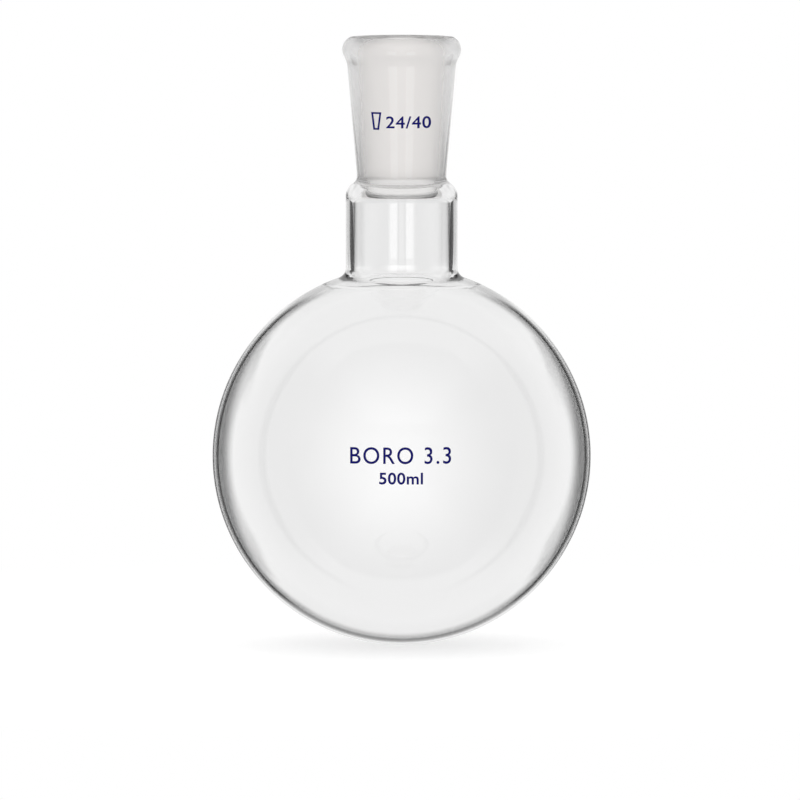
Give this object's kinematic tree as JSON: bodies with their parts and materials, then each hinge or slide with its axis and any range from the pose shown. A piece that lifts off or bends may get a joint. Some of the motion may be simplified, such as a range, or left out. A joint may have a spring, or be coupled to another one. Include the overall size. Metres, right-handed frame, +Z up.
{
  "type": "round bottom flask",
  "caption": "Spherical borosilicate boiling flask with one straight neck, a rounded shoulder, a ground taper joint and a beaded mouth, marked in blue enamel.",
  "frame": {"origin": "lowest point of the bulb, on the neck's axis", "axes": "+Z up along the neck's axis, out of the mouth; -Y towards the side with the prints; +X to the right as the prints are read"},
  "size_m": [0.105, 0.1051, 0.1688],
  "materials": {
    "clear_glass": "fire-polished clear borosilicate glass",
    "ground_glass": "borosilicate glass with a finely ground, frosted bore",
    "blue_enamel": "fired ceramic enamel, satin"
  },
  "bodies": {
    "root": {"bulb": "clear_glass", "neck_tube": "clear_glass", "taper_joint": "ground_glass", "mouth_bead": "ground_glass", "glass_grade_print": "blue_enamel", "volume_print": "blue_enamel", "taper_symbol_print": "blue_enamel", "joint_size_print": "blue_enamel"}
  },
  "joints": []
}
